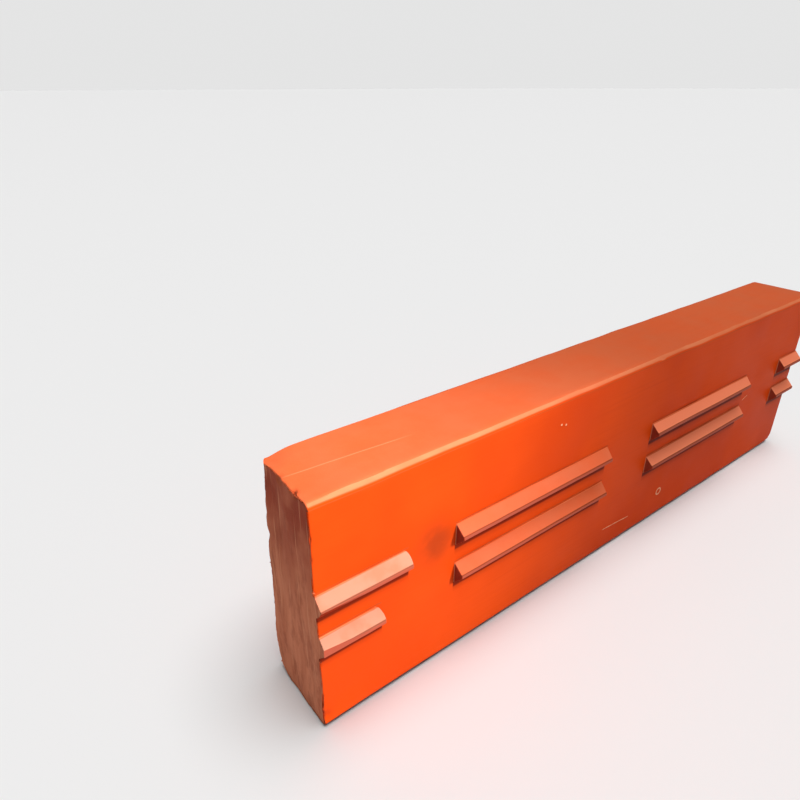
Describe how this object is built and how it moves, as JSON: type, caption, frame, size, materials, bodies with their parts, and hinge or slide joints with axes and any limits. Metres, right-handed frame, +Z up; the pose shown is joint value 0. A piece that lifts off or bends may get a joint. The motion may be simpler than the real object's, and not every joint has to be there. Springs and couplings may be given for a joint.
{
  "type": "impact crusher blow bar",
  "caption": "Long cast steel wear bar for an impact crusher rotor, with two broken rows of locking ribs along one face and a plain back.",
  "frame": {"origin": "middle of the slab's lower long edge face, half-way along the length and half-way through the slab's thickness", "axes": "+X along the length, to the right as seen from the ribbed side; +Y through the thickness, from the ribbed face to the plain back; +Z up, across the bar's height"},
  "size_m": [1.3, 0.154, 0.38],
  "materials": {
    "orange_paint": "satin orange-red paint over cast steel, thinner and browner on the end faces"
  },
  "bodies": {
    "root": {"blow_bar": "orange_paint"}
  },
  "joints": []
}
